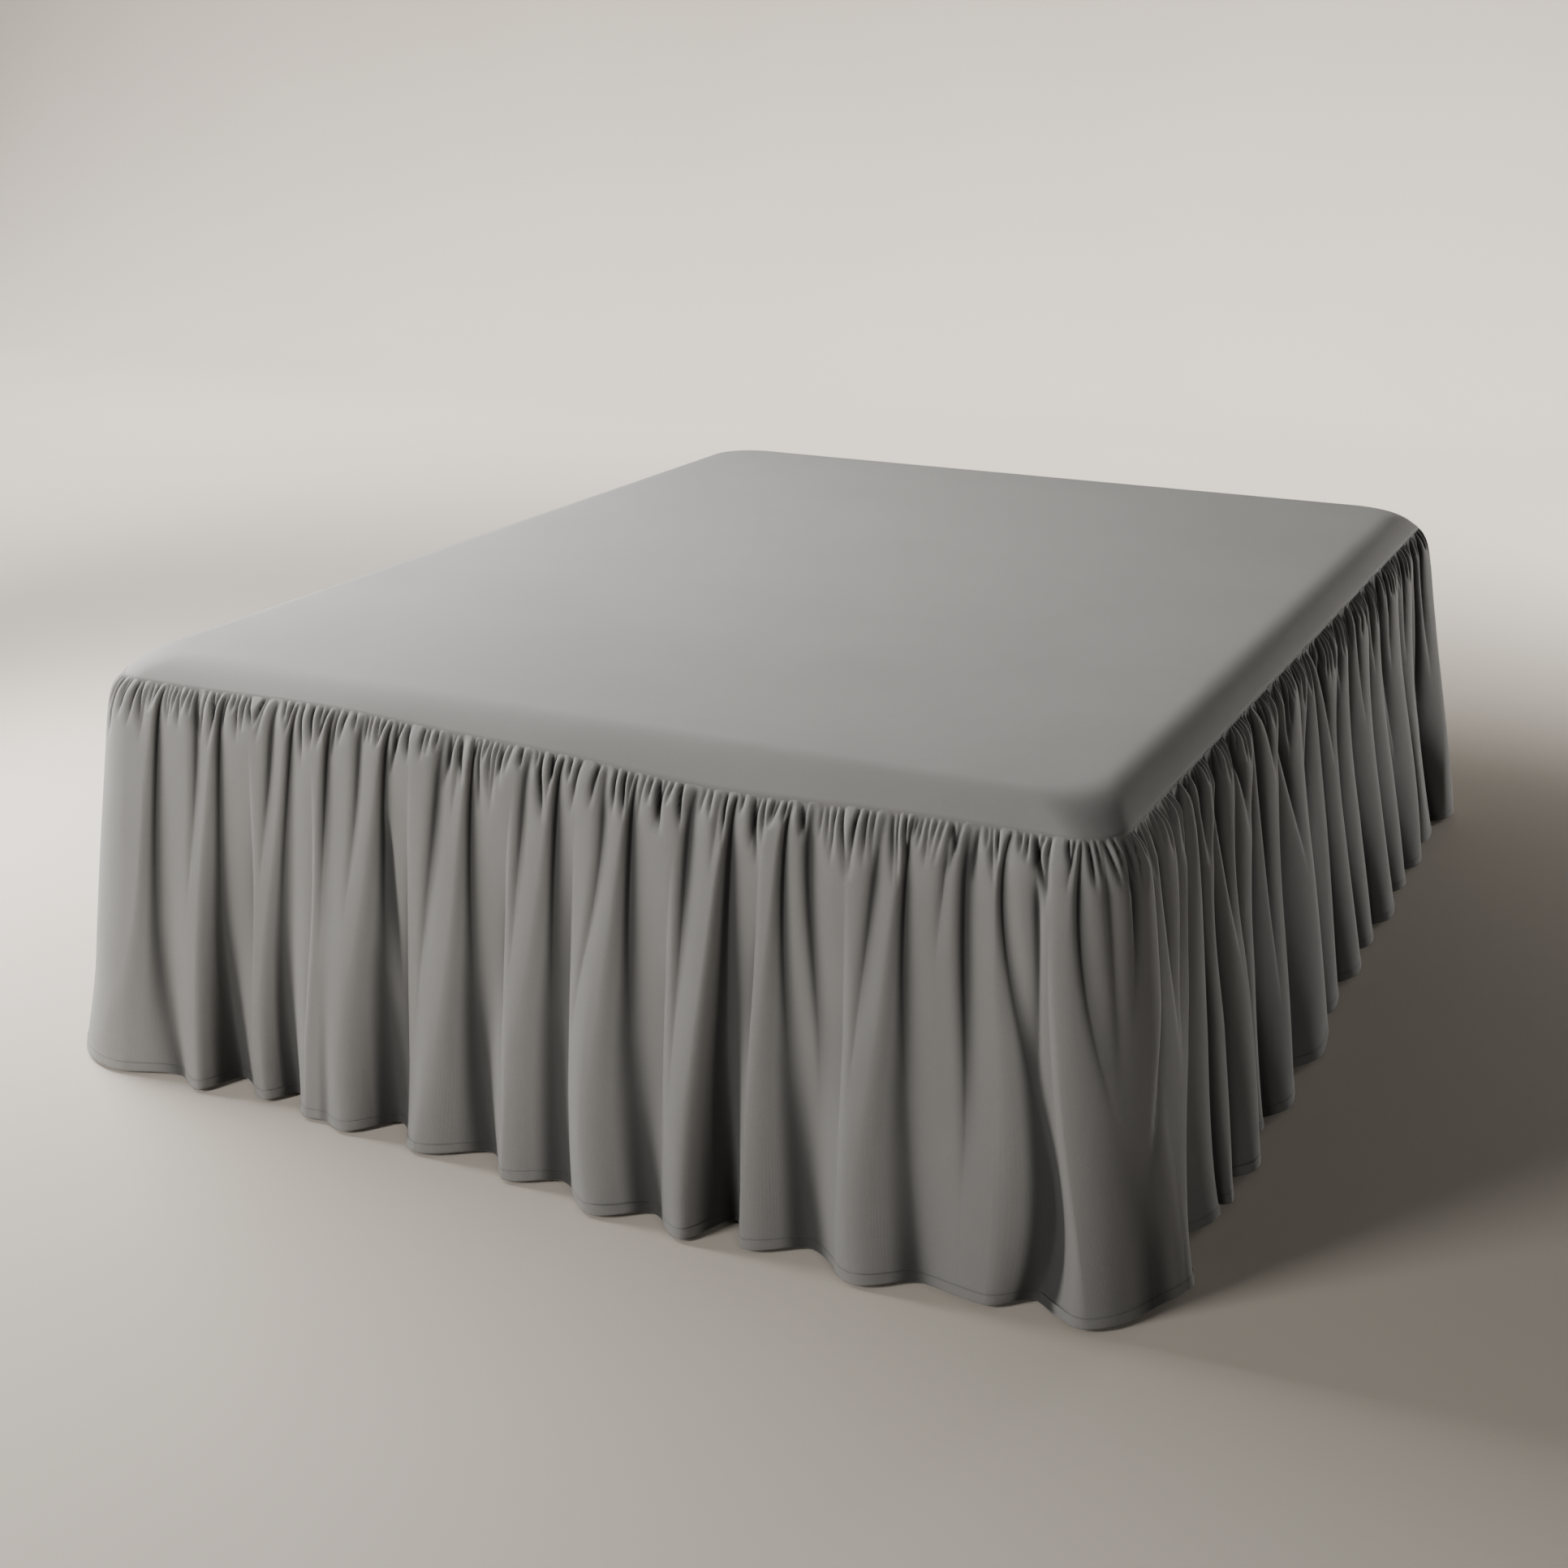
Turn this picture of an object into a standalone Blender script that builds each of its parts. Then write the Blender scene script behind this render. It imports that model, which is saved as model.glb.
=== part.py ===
"""A gathered bed skirt on a plain bed base.

The skirt is a flat deck panel that wraps over the rounded shoulder of the base, and a ruffle in three
lengths, sewn under the deck's edge, that hangs in uneven folds to just above the floor. The head end has
no ruffle. The base is a plain slab on four turned legs.

Metres, +Z up. The origin is on the floor under the middle of the base, -Y is the foot end, +Y the head.
"""

import math
from collections import namedtuple

import bmesh
import bpy
from mathutils import Vector

MM = 0.001

# Deck and seam line
WIDTH = 1.600  # outside of the deck, side to side
LENGTH = 2.000  # outside of the deck, foot to head
SEAM_HEIGHT = 0.610  # where the ruffle is sewn to the deck
DECK_DROP = 0.036  # from the deck's flat top down to the seam
SHOULDER_RUN = 0.070  # how far inside the seam the deck starts to fall away
SEAM_RADIUS = 0.065  # corners of the seam line, seen from above
TOP_RADIUS = 0.090  # corners of the deck's flat top
TOP_MARGIN = 0.030  # flat strip inside the shoulder
CORNER_STEPS = 6
SHOULDER_STEPS = 5

# The foot seam is sewn a little unevenly. Each wave has a middle, from the left corner, a spread and a rise.
FOOT_SEAM_WAVES = ((0.42, 0.17, 0.008), (1.07, 0.21, -0.015))
FOOT_SEAM_COLUMNS = 24  # of the deck, to follow those waves

# Cloth
CLOTH = 0.002
GAP = 0.0003  # between two pieces that are sewn together or rest on each other
EDGE_CLEARANCE = 0.002  # between the cloth and an edge that it falls over
UNDER_EDGE = 0.002  # from the deck's outer edge down to the ruffle, clear of the deck's cut edge
HEM_HEIGHT = 0.006

# Ruffle: how its folds grow from the gathers to the hem
HEADING = 0.004  # straight strip at the seam, before the gathers puff out
BULGE = 0.023  # how far the gathers puff out
BULGE_DEPTH = 0.014  # how quickly they do so
RUFFLE_ROWS = (0.0, 0.030, 0.095, 0.265, 0.560, 1.0)  # shares of the drop below the heading
FLANK_STEPS = 3  # columns from a groove to the crest beside it, or more where
WIDEST_COLUMN = 30  # they would be wider than this, in millimetres
CORNER_COLUMN = 14  # widest column where a fold turns a corner, in millimetres
SEAM_FULLNESS = 0.45  # under the seam the crests are broad and the grooves narrow
HEM_FULLNESS = 0.75  # at the hem they are nearly even

# A row is one fold: its crest, then the groove that follows. Places are millimetres along the face, from
# the corner that the table names, at the seam and at the hem. An "out" is how far the hem stands away from
# the seam line, and "start" is how deep the groove already is under the seam, from 0 to 1. The first row
# of a table has no crest: its groove is the edge that the ruffle starts at.
Fold = namedtuple("Fold", "crest_seam crest_hem crest_out groove_seam groove_hem groove_out start")

# From the foot's left corner. It starts and ends a little way round the foot's two corners.
FOOT_FOLDS = (
    Fold(0, 0, 0, -163, -163, 30, 1.0),
    Fold(40, 0, 100, 122, 150, 64, 1.0),
    Fold(222, 208, 89, 239, 243, 27, 1.0),
    Fold(340, 318, 68, 366, 352, 28, 0.9),
    Fold(420, 405, 82, 436, 437, 78, 0.8),
    Fold(505, 480, 91, 538, 543, 34, 1.0),
    Fold(666, 612, 92, 686, 712, 45, 1.0),
    Fold(800, 770, 99, 824, 842, 68, 0.9),
    Fold(912, 925, 122, 941, 997, 84, 1.0),
    Fold(1071, 1063, 123, 1090, 1107, 55, 1.0),
    Fold(1156, 1150, 103, 1174, 1225, 64, 0.8),
    Fold(1315, 1312, 112, 1339, 1385, 55, 1.0),
    Fold(1460, 1476, 80, 1474, 1530, 43, 0.9),
    Fold(1538, 1578, 92, 1565, 1632, 82, 0.5),
    Fold(1655, 1680, 100, 1763, 1763, 30, 1.0),
)

# From the foot's right corner, to a little way round the head's right corner
RIGHT_FOLDS = (
    Fold(0, 0, 0, 166, 166, 30, 1.0),
    Fold(287, 275, 95, 338, 343, 50, 1.0),
    Fold(428, 408, 101, 456, 465, 52, 0.9),
    Fold(645, 585, 114, 700, 680, 38, 1.0),
    Fold(800, 795, 118, 886, 900, 55, 0.9),
    Fold(930, 970, 86, 987, 1045, 48, 0.8),
    Fold(1062, 1130, 92, 1092, 1195, 50, 1.0),
    Fold(1155, 1262, 86, 1197, 1320, 50, 0.8),
    Fold(1352, 1398, 96, 1380, 1480, 46, 1.0),
    Fold(1443, 1558, 88, 1475, 1620, 50, 0.9),
    Fold(1620, 1690, 93, 1649, 1755, 50, 1.0),
    Fold(1762, 1832, 85, 1790, 1915, 44, 0.9),
    Fold(1954, 1992, 125, 2035, 2030, 96, 0.6),
    Fold(2070, 2075, 123, 2115, 2118, 92, 0.4),
)

# From the foot's left corner, to a little way round the head's left corner
LEFT_FOLDS = (
    Fold(0, 0, 0, 166, 166, 30, 1.0),
    Fold(228, 240, 92, 293, 300, 45, 1.0),
    Fold(368, 372, 88, 429, 440, 58, 0.8),
    Fold(506, 520, 108, 588, 600, 38, 1.0),
    Fold(655, 668, 84, 717, 725, 50, 0.8),
    Fold(807, 815, 104, 878, 900, 44, 1.0),
    Fold(959, 975, 90, 1030, 1050, 56, 0.7),
    Fold(1115, 1125, 118, 1189, 1205, 42, 1.0),
    Fold(1268, 1275, 87, 1331, 1345, 52, 0.9),
    Fold(1407, 1420, 99, 1486, 1500, 46, 1.0),
    Fold(1560, 1570, 90, 1624, 1640, 55, 0.8),
    Fold(1718, 1725, 105, 1799, 1810, 40, 1.0),
    Fold(1873, 1885, 86, 1928, 1940, 58, 0.9),
    Fold(1991, 1995, 120, 2038, 2036, 90, 0.6),
    Fold(2071, 2078, 112, 2113, 2120, 84, 0.4),
)

# Base
SLAB_DEPTH = 0.220
SLAB_FOOT_BEVEL = 0.006
LEG_TOP_RADIUS = 0.036
LEG_FOOT_RADIUS = 0.024
LEG_INSET = 0.100  # from the slab's sides to the middle of a leg
LEG_SIDES = 20

DECK_TOP = SEAM_HEIGHT + DECK_DROP
SEAM_SLOPE = math.atan(2 * DECK_DROP / SHOULDER_RUN)
UNDER_DECK = CLOTH + 2 * GAP  # from the deck's outside to the slab; twice the gap, as both have flat facets
SLAB_TOP = DECK_TOP - UNDER_DECK
SLAB_INSET = CLOTH + EDGE_CLEARANCE
LEG_HEIGHT = SLAB_TOP - SLAB_DEPTH - GAP

# One column of a ruffle: its places at the seam and the hem, and how far up the flank of its fold it is
Column = namedtuple("Column", "at_seam at_hem crestness crest_out groove_out start")


def clear_scene():
    for item in list(bpy.data.objects):
        bpy.data.objects.remove(item, do_unlink=True)


def new_collection(name):
    collection = bpy.data.collections.new(name)
    bpy.context.scene.collection.children.link(collection)
    return collection


def plain_material(name, colour, roughness):
    material = bpy.data.materials.new(name)
    material.use_nodes = True
    shader = material.node_tree.nodes["Principled BSDF"]
    shader.inputs["Base Color"].default_value = (*colour, 1.0)
    shader.inputs["Roughness"].default_value = roughness
    shader.inputs["Metallic"].default_value = 0.0
    return material


def add_object(name, builder, material, collection):
    """Puts a finished bmesh in the scene, shaded smooth but for its hard edges."""
    mesh = bpy.data.meshes.new(name)
    builder.to_mesh(mesh)
    builder.free()
    mesh.materials.append(material)
    mesh.shade_smooth()
    mesh.set_sharp_from_angle(angle=math.radians(40))
    item = bpy.data.objects.new(name, mesh)
    collection.objects.link(item)
    return item


def add_thickness(item, offset):
    shell = item.modifiers.new("Cloth thickness", "SOLIDIFY")
    shell.thickness = CLOTH
    shell.offset = offset


def mix(first, last, share):
    return first + (last - first) * share


def ease(share):
    return 0.5 - 0.5 * math.cos(math.pi * share)


def foot_seam(along):
    """Height of the foot's seam, at a distance from the foot's left corner."""
    waves = (rise * math.exp(-(((along - middle) / spread) ** 2)) for middle, spread, rise in FOOT_SEAM_WAVES)
    return SEAM_HEIGHT + sum(waves)


def side_seam(_along):
    return SEAM_HEIGHT


def round_corners(along, out, length):
    """A point outside a face and round its corners, as (run along the face, distance away from it)."""
    for corner, way in ((0.0, -1), (length, 1)):
        past = (along - corner) * way + SEAM_RADIUS  # from where the corner's arc begins
        if past <= 0.0:
            continue
        angle = min(past / (2 * SEAM_RADIUS), 1.0) * math.pi / 2
        beyond = max(past - 2 * SEAM_RADIUS, 0.0)
        reach = SEAM_RADIUS + out
        run = corner + way * (reach * math.sin(angle) - SEAM_RADIUS)
        return run, reach * math.cos(angle) - SEAM_RADIUS - beyond
    return along, out


def place_on_foot(run, away):
    return run - WIDTH / 2, -LENGTH / 2 - away


def place_on_right(run, away):
    return WIDTH / 2 + away, run - LENGTH / 2


def place_on_left(run, away):
    return -WIDTH / 2 - away, run - LENGTH / 2


def steps_across(first, last, length):
    """Columns between two places along a face, which lie closer together where they turn one of its corners."""
    turns = any(first * MM < corner + SEAM_RADIUS and last * MM > corner - SEAM_RADIUS for corner in (0.0, length))
    return max(FLANK_STEPS, math.ceil((last - first) / (CORNER_COLUMN if turns else WIDEST_COLUMN)))


def ruffle_columns(folds, length):
    """The columns of a ruffle from its first edge to its last, up and down the flanks of its folds."""
    columns = []
    groove = folds[0]
    for fold in folds[1:]:
        steps = steps_across(groove.groove_seam, fold.crest_seam, length)
        for step in range(steps):
            share = step / steps
            at_seam = mix(groove.groove_seam, fold.crest_seam, share)
            at_hem = mix(groove.groove_hem, fold.crest_hem, share)
            columns.append(Column(at_seam, at_hem, ease(share), fold.crest_out, groove.groove_out, groove.start))
        steps = steps_across(fold.crest_seam, fold.groove_seam, length)
        for step in range(steps):
            share = step / steps
            at_seam = mix(fold.crest_seam, fold.groove_seam, share)
            at_hem = mix(fold.crest_hem, fold.groove_hem, share)
            columns.append(Column(at_seam, at_hem, ease(1 - share), fold.crest_out, fold.groove_out, fold.start))
        groove = fold
    last = Column(groove.groove_seam, groove.groove_hem, 0.0, groove.crest_out, groove.groove_out, groove.start)
    return columns + [last]


def stand_off(column, falls, share):
    """How far a column stands out, at a distance below the heading that is this share of the drop."""
    puff = BULGE * (1.0 - math.exp(-falls / BULGE_DEPTH))
    crest = puff + (column.crest_out * MM - BULGE) * share
    groove = puff * (1.0 - column.start) * (1.0 - share) + column.groove_out * MM * share**1.2
    fullness = mix(SEAM_FULLNESS, HEM_FULLNESS, share)
    return mix(groove, crest, column.crestness**fullness)


def ruffle_point(column, row, length, seam_at, place):
    """A point of the sheet. Row 0 is its top edge, row 1 the foot of the heading, and the last its hem."""
    share = RUFFLE_ROWS[max(row - 1, 0)]
    along = mix(column.at_seam, column.at_hem, share) * MM
    top = seam_at(column.at_seam * MM) - UNDER_EDGE
    falls = (top - HEADING - HEM_HEIGHT) * share
    run, away = round_corners(along, stand_off(column, falls, share) - CLOTH / 2, length)
    depth = falls + (HEADING if row else 0.0)
    return (*place(run, away), top - depth)


def make_ruffle(name, folds, length, seam_at, place, material, collection):
    """One length of the ruffle: a sheet in folds, given its thickness by a modifier."""
    columns = ruffle_columns(folds, length)
    across = len(columns) - 1
    down = len(RUFFLE_ROWS)
    sheet = bmesh.new()
    bmesh.ops.create_grid(sheet, x_segments=across, y_segments=down, size=0.5)
    for vert in sheet.verts:
        column = columns[round((vert.co.x + 0.5) * across)]
        row = round((0.5 - vert.co.y) * down)
        vert.co = ruffle_point(column, row, length, seam_at, place)
    add_thickness(add_object(name, sheet, material, collection), offset=0.0)


def add_ring(builder, inset, radius, height, dip):
    """Adds a ring of points, a rounded rectangle this far inside the seam line. Its foot side rises and dips
    with the seam, by this share."""
    across = WIDTH / 2 - inset - radius
    along = LENGTH / 2 - inset - radius
    places = []
    for turn, (x_side, y_side) in enumerate(((1, 1), (-1, 1), (-1, -1), (1, -1))):
        for step in range(CORNER_STEPS + 1):
            angle = (turn + step / CORNER_STEPS) * math.pi / 2
            places.append((x_side * across + radius * math.cos(angle), y_side * along + radius * math.sin(angle)))
        if x_side == y_side:  # the head's and the foot's sides
            for column in range(1, FOOT_SEAM_COLUMNS):
                share = column / FOOT_SEAM_COLUMNS
                places.append((mix(x_side * across, -x_side * across, share), y_side * (along + radius)))
    ring = []
    for x, y in places:
        rise = dip * (foot_seam(x + WIDTH / 2) - SEAM_HEIGHT) if y < 0 else 0.0
        ring.append(builder.verts.new((x, y, height + rise)))
    return ring


def bridge(builder, inner, outer):
    for here, vert in enumerate(inner):
        after = (here + 1) % len(inner)
        builder.faces.new((outer[here], outer[after], inner[after], vert))


def add_shoulder(builder, depth, reach):
    """A flat top and the shoulder round it, this depth under the deck's outside. The shoulder reaches this
    share of the way out to the seam. Returns its lowest ring."""
    rings = [add_ring(builder, SHOULDER_RUN + TOP_MARGIN, TOP_RADIUS, DECK_TOP - depth, 0.0)]
    for share in [step / SHOULDER_STEPS for step in range(SHOULDER_STEPS)] + [reach]:
        slope = math.atan(2 * DECK_DROP * share / SHOULDER_RUN)
        inset = SHOULDER_RUN * (1 - share) + depth * math.sin(slope)
        height = DECK_TOP - DECK_DROP * share**2 - depth * math.cos(slope)
        rings.append(add_ring(builder, inset, mix(TOP_RADIUS, SEAM_RADIUS, share), height, share**3))
    builder.faces.new(rings[0])
    for inner, outer in zip(rings, rings[1:]):
        bridge(builder, inner, outer)
    return rings[-1]


def make_deck(material, collection):
    """The deck panel: flat on top, falling away over its shoulder to the seam."""
    deck = bmesh.new()
    add_shoulder(deck, 0.0, 1.0)
    add_thickness(add_object("deck", deck, material, collection), offset=-1.0)


def make_slab(material, collection):
    """The base under the deck: the same top and shoulder, then upright sides."""
    slab = bmesh.new()
    reach = 1.0 - (SLAB_INSET - UNDER_DECK * math.sin(SEAM_SLOPE)) / SHOULDER_RUN
    above = add_shoulder(slab, UNDER_DECK, reach)
    bottom = SLAB_TOP - SLAB_DEPTH
    for inset, height in ((0.0, bottom + SLAB_FOOT_BEVEL), (SLAB_FOOT_BEVEL, bottom)):
        below = add_ring(slab, SLAB_INSET + inset, SEAM_RADIUS, height, 0.0)
        bridge(slab, above, below)
        above = below
    slab.faces.new(reversed(above))
    add_object("slab", slab, material, collection)


def make_legs(material, collection):
    """Four turned legs, tapering to the floor."""
    for end, y_side in (("foot", -1), ("head", 1)):
        for side, x_side in (("left", -1), ("right", 1)):
            leg = bmesh.new()
            bmesh.ops.create_cone(
                leg,
                cap_ends=True,
                segments=LEG_SIDES,
                radius1=LEG_FOOT_RADIUS,
                radius2=LEG_TOP_RADIUS,
                depth=LEG_HEIGHT,
            )
            item = add_object(f"leg_{end}_{side}", leg, material, collection)
            x = x_side * (WIDTH / 2 - SLAB_INSET - LEG_INSET)
            y = y_side * (LENGTH / 2 - SLAB_INSET - LEG_INSET)
            item.location = Vector((x, y, LEG_HEIGHT / 2))


def main():
    clear_scene()
    collection = new_collection("Bed skirt")
    cloth = plain_material("Grey microfibre", (0.24, 0.23, 0.22), 0.85)
    ticking = plain_material("Pale ticking", (0.62, 0.59, 0.54), 0.9)
    wood = plain_material("Light wood", (0.42, 0.28, 0.16), 0.5)

    make_deck(cloth, collection)
    make_ruffle("ruffle_foot", FOOT_FOLDS, WIDTH, foot_seam, place_on_foot, cloth, collection)
    make_ruffle("ruffle_left", LEFT_FOLDS, LENGTH, side_seam, place_on_left, cloth, collection)
    make_ruffle("ruffle_right", RIGHT_FOLDS, LENGTH, side_seam, place_on_right, cloth, collection)
    make_slab(ticking, collection)
    make_legs(wood, collection)


main()
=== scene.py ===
"""The looks of a gathered bed skirt on a bed base: its cloth in full detail, the base, light and camera."""

import math
from collections import namedtuple

import bpy
import numpy as np
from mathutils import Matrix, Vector


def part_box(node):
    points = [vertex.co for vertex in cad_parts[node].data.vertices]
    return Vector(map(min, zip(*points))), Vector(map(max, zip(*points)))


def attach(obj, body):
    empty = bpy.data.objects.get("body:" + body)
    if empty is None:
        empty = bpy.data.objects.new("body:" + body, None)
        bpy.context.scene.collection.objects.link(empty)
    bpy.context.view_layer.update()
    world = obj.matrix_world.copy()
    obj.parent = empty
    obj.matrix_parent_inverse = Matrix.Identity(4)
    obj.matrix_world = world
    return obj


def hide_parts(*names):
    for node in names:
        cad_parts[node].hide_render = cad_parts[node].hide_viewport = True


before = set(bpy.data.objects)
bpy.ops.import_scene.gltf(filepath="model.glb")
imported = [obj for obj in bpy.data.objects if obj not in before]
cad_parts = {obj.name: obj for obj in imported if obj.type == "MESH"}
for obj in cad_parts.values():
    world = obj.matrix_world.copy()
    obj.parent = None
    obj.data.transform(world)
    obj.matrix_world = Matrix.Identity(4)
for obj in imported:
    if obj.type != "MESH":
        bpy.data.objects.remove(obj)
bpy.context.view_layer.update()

MM = 0.001

# Sizes, from the frame
DECK_LOW, DECK_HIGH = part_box("deck")
WIDTH = DECK_HIGH[0] - DECK_LOW[0]
LENGTH = DECK_HIGH[1] - DECK_LOW[1]
DECK_TOP = DECK_HIGH[2]
HEM_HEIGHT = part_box("ruffle_foot")[0][2]

# Deck
DECK_DROP = 0.036
SEAM_HEIGHT = DECK_TOP - DECK_DROP
SHOULDER_RUN = 0.070
SHOULDER_POWER = 2.5
SEAM_RADIUS = 0.065
TOP_RADIUS = 0.090
DECK_INSETS = (0.55, 0.4, 0.25, 0.15, 0.1)  # of the rings of points on its flat top
SHOULDER_RINGS = 17
CORNER_POINTS = 25
EDGE_POINTS = 64
CLOTH = 0.002
FOOT_SEAM_WAVES = ((0.42, 0.17, 0.008), (1.07, 0.21, -0.015))  # each one's middle, spread and rise

# Ruffle: its rows and columns
HEM_TURN = 0.014  # height of the turned-up hem
HEM_STEP = 0.0007  # how far its two layers stand out
HEM_EDGE = 0.002  # and over what height they come to do so
COLUMNS = 1450
STATIONS = (0.0, 0.15, 0.30)  # distances below the seam of a path's first three places
CREASE_LAST = 0.50  # and of a crease's last one
HEM_ZONE = 0.030  # height above the hem at which the last band ends
ROW_BANDS = ((0.0, 14), (0.040, 14), (0.110, 14), (0.300, 13))  # where each band starts, and its rows
# Heights above the hem of the rows near it
HEM_ROWS = (HEM_ZONE, 0.022, HEM_TURN + HEM_EDGE, HEM_TURN, HEM_TURN - HEM_EDGE, 0.006, 0.002, 0.0)
# Rows of the turned-up hem's back: how far inside the cloth's face, and how far above the hem
TURNED_ROWS = ((0.0008, 0.0), (0.0016, 0.001), (0.0022, HEM_TURN))
TURNED_LENGTHS = (0.001, 0.002, HEM_TURN)  # how far past the hem each of them is along the cloth

# Ruffle: its folds
HEADING = 0.0015  # the strip above the seam
HEAD = 0.0015  # least distance out from the seam line
HEAD_SOFTNESS = 0.003
BULGE = 0.021  # how far the gathers puff out
BULGE_DEPTH = 0.014  # how far below the seam they do so
MEAN_CREST_OUT = 0.092
GROOVE_START = 0.030  # how far below the seam the grooves open
GROOVE_FADE = 0.7  # and how they close again towards the hem, as a power
GROOVE_GROWTH = 1.8  # power of the fall by which a groove swings in or out
DOME = 0.2  # how much of a fold is a broad dome
FALL_TAIL = 0.85  # how far a falling flank spreads into its groove
LEAST_COLUMNS = 8  # of a flank
JOIN_WIDTH = 0.022  # how much of the cloth is drawn in where two ruffles are joined
JOIN_OUT = 0.0285  # how far out the join's hem stands
JOIN_GROWTH = 1.3

# Ruffle: its furrows, which are slits, creases and gathers. A fade is the power by which they die away.
FURROW_POWER = 1.2  # how sharp their bottoms are
FURROW_START = 0.004  # how far below the seam they open
SLIT_FOOT = 0.360  # how far below the seam the slits end
SLIT_FADE = 1.3
CREASE_START = 0.25  # share of a crease's length over which it opens
CREASE_FADE = 1.5
CREASE_WIDENING = 0.30  # the fall over which its wider flank doubles
GATHER_FADE = 1.5
GATHER_WIDTH = 0.65  # share of the width in the table
GATHER_WIDENING = 0.04  # for each metre of fall
GATHER_LEAN_END = 1.2  # where it stops leaning, in lengths of the gather
# Spare gathers, in millimetres: where they start and how far past the face they go, their distance from the
# named ones, their shortest reach and how many times longer the longest is, and ranges of their sizes
SPARE_FIRST = -150.0
SPARE_PAST = 250
SPARE_CLEARANCE = 6.0
SPARE_REACH = 14
SPARE_LONGEST = 3.0
SPARE_DEPTHS = (3.5, 6.5)
SPARE_LEANS = (-0.22, 0.22)
SPARE_WIDTHS = (2.6, 4.0)
SPARE_PITCHES = (8.0, 13.0)

# Hollows, which hold less light and so get painted shade in the cloth's colour: wide ones, and the thin slits
# in them
HOLLOW_STEP = 0.0015
HOLLOW_SPREAD = 0.022  # the size of the surroundings that a place is measured against
BLUR_REACH = 4  # how many spreads to each side count as surroundings
THIN_SPREAD = 0.006
THIN_LEAST = 0.0007
THIN_DEEPEST = 0.0028

# Cloth. Scales are those of noise, and shares and heights are what each part adds to the tone and the relief.
CLOTH_DARK = (0.150, 0.147, 0.142)
CLOTH_PALE = (0.222, 0.218, 0.211)
CLOUD_SCALE = 3.0
CLOUD_SHARE = 0.70
SLUB_SCALE = (260.0, 2600.0, 1.0)
SLUB_SHARE = 0.30
FUZZ_SCALE = 420.0
FUZZ_SHARE = 0.35
FUZZ_HEIGHT = 0.65
THREAD = 0.0008
THREAD_HEIGHT = 0.35
RIPPLE_STRETCH = (1.0, 1.0, 0.35)
RIPPLE_SCALE = 26.0
RIPPLE_HEIGHT = 2.2
STITCH = 0.0036
STITCH_WIDTH = 0.0004
STITCH_HEIGHT = 1.6
STITCH_GAP = 0.2
DENT_WIDTH = 3 * STITCH_WIDTH  # of the line that the stitches lie in
DENT_HEIGHT = -2.0
# painted shade: the cloth's colour is darkened by this share in the dent that the stitches lie in
PAINTED_DENT_SHADE = 0.18
# painted shade: the cloth's colour is darkened by up to this share in its hollows and slits
PAINTED_HOLLOW_SHADE = 0.82
CLOTH_ROUGHNESS = (0.16, 0.74)  # what the fuzz adds, and what there is without it
CLOTH_RELIEF = 0.00025

# Base and legs
TICKING_DARK = (0.20, 0.20, 0.21)
TICKING_PALE = (0.56, 0.54, 0.50)
TICKING_CLOUDS = 60.0
TICKING_CLOUD_HEIGHT = 0.4
TICKING_TONE = (0.3, 0.65)  # what the clouds add, and what there is without them
TICKING_ROUGHNESS = (0.15, 0.72)
TICKING_THREAD = 0.0016
TICKING_RELIEF = 0.0004
STRIPE_PITCH = 0.024
STRIPE_GAP = 0.90
STRIPE_SHADE = -0.45
WOOD_DARK = (0.235, 0.120, 0.055)
WOOD_PALE = (0.440, 0.265, 0.135)
WOOD_BEND = (9.0, 9.0, 1.5)
WOOD_FLECK = (900.0, 900.0, 45.0)
WOOD_RINGS = 520.0
WOOD_RING_BEND = 42.0
WOOD_RING_SHARE = 0.18
WOOD_TONE = (0.4, 0.3)  # what the flecks add, and what there is without them
WOOD_ROUGHNESS = (0.25, 0.38)
WOOD_RELIEF = 0.0005

# Flat sizes
SEAM_ALLOWANCE = 0.05  # hems and seams of a piece, both edges together
RUFFLE_FLAT = 2.9  # width of each ruffle before it is gathered

# Stage, light and camera
FLOOR_DARK = (0.43, 0.39, 0.34)
FLOOR_PALE = (0.46, 0.42, 0.37)
FLOOR_CLOUDS = 1.2
FLOOR_GRAIN = 300.0
FLOOR_ROUGHNESS = (0.1, 0.8)  # what the grain adds, and what there is without it
FLOOR_RELIEF = 0.0001
STAGE_REACH = 14.0
STAGE_HEIGHT = 6.0
SWEEP_AT = 5.0
SWEEP_RADIUS = 2.0
SWEEP_POINTS = 25
DAYLIGHT = (1.0, 0.985, 0.96)
# Each glow of the sky, by its axis: where it starts and ends along that axis, and how bright it is there
SKY_GLOWS = (("Y", 0.2, 0.9, 0.006, 0.030), ("Z", 0.5, 1.0, 0.0, 0.020))
# Power is in watts and spread in degrees
Lamp = namedtuple("Lamp", "name place target size power spread")
LAMPS = (
    Lamp("Window", (-2.1, -0.45, 1.52), (-0.1, -0.1, 0.5), (1.6, 1.4), 182, 180),
    Lamp("Front", (-2.0, -4.2, 1.9), (0.1, -0.8, 0.3), (1.2, 1.2), 182, 180),
    Lamp("Right", (2.4, 4.0, 0.5), (0.85, 0.2, 0.3), (0.6, 0.6), 100, 180),
    Lamp("Fill", (2.8, -3.4, 1.5), (0.8, -1.0, 0.3), (1.0, 1.0), 20, 180),
    Lamp("Floor", (-4.6, 0.6, 3.2), (-4.6, 0.8, 0.0), (3.0, 4.0), 150, 90),
    Lamp("Backdrop", (-2.5, 3.0, 4.2), (-2.6, 5.5, 0.0), (15.0, 1.2), 900, 112),
)
CAMERA_PLACE = (1.4888, -3.2516, 1.5182)
CAMERA_DOWN = 14.468  # degrees below level
CAMERA_LEFT = 26.672  # degrees to the left of +Y
CAMERA_LENS = 47.77
CAMERA_SENSOR = 36
CAMERA_SHIFT = -0.12
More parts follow.
